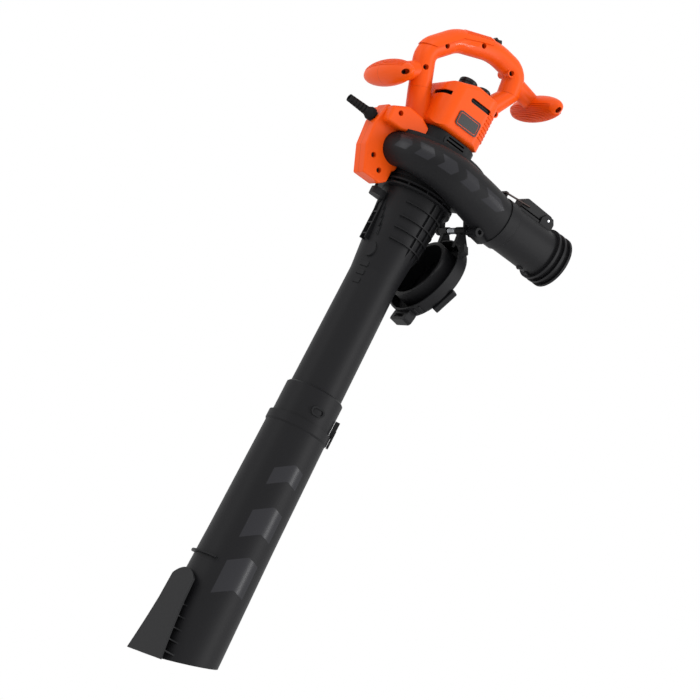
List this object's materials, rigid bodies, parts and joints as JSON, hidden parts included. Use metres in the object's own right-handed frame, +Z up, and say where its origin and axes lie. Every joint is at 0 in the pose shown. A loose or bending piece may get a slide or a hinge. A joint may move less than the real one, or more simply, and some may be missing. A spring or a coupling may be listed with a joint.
{
  "type": "leaf blower",
  "caption": "Corded garden blower vacuum in vacuum mode: arched handle with cross grips, scroll fan housing, long two-piece suction tube, open inlet cover and bag outlet.",
  "frame": {"origin": "on the tube and motor axis, level with the lowest edge of the nozzle mouth", "axes": "+Z up the suction tube to fan, motor and handle; +X the way the bag outlet blows; the handle halves meet in the plane Y = 0"},
  "size_m": [0.426, 0.2273, 1.162],
  "materials": {
    "orange_abs": "satin moulded, fine texture",
    "charcoal_pp": "matt moulded with glossier bands",
    "black_abs": "semi-gloss moulded",
    "black_nylon": "glass-filled, dull",
    "badge_black": "gloss with recessed frame line",
    "steel": "bright zinc plated",
    "brass": "drawn",
    "rubber": "matt"
  },
  "bodies": {
    "body": {"badge": "badge_black", "bar_screws": "steel", "bearing_bridge": "charcoal_pp", "brush_holder_left": "brass", "brush_holder_right": "brass", "brush_left": "rubber", "brush_right": "rubber", "cord_boot": "rubber", "cord_clamp": "charcoal_pp", "cover_hinge_pin": "steel", "cover_spring": "steel", "grip_cover": "orange_abs", "handle_left": "orange_abs", "handle_right": "orange_abs", "housing_screws": "steel", "latch_pin": "steel", "lower_bearing": "steel", "lower_tube": "charcoal_pp", "motor_base": "charcoal_pp", "motor_housing_left": "orange_abs", "motor_housing_right": "orange_abs", "outlet_adaptor": "charcoal_pp", "outlet_gasket": "rubber", "stator": "steel", "switch_module": "charcoal_pp", "top_cap_front": "black_abs", "top_cap_rear": "black_abs", "tube_catch": "charcoal_pp", "tube_seal": "rubber", "upper_bearing": "steel", "upper_tube": "charcoal_pp", "vent_grille_left": "charcoal_pp", "vent_grille_right": "charcoal_pp", "volute_lower": "charcoal_pp", "volute_upper": "charcoal_pp"},
    "rotor": {"impeller": "black_nylon", "impeller_nut": "steel", "rotor_shaft": "steel", "armature": "steel", "commutator": "brass", "cooling_fan": "black_nylon"},
    "inlet_cover_body": {"inlet_cover": "charcoal_pp", "cover_seal": "rubber"},
    "latch_body": {"outlet_latch": "black_abs", "latch_bail": "steel"},
    "slider_body": {"speed_slider": "black_abs"},
    "interlock_body": {"interlock_pin": "black_abs"}
  },
  "joints": [
    {"name": "impeller_spin", "type": "hinge", "parent": "body", "child": "rotor", "pos_m": [0, 0, 0.9], "axis": [0, 0, 1], "continuous": true},
    {"name": "inlet_cover_hinge", "type": "hinge", "parent": "body", "child": "inlet_cover_body", "pos_m": [0.092, 0, 0.843], "axis": [0, 1, 0], "range_deg": [-12, 2]},
    {"name": "outlet_latch_hinge", "type": "hinge", "parent": "body", "child": "latch_body", "pos_m": [0.188, -0.084, 0.919], "axis": [0, 1, 0], "range_deg": [0, 48]},
    {"name": "speed_slide", "type": "slide", "parent": "body", "child": "slider_body", "axis": [1, 0, 0], "range_m": [0, 0.014]},
    {"name": "interlock_press", "type": "slide", "parent": "body", "child": "interlock_body", "axis": [0, 0, 1], "range_m": [0, 0.003], "stiffness_N_per_m": 300}
  ]
}
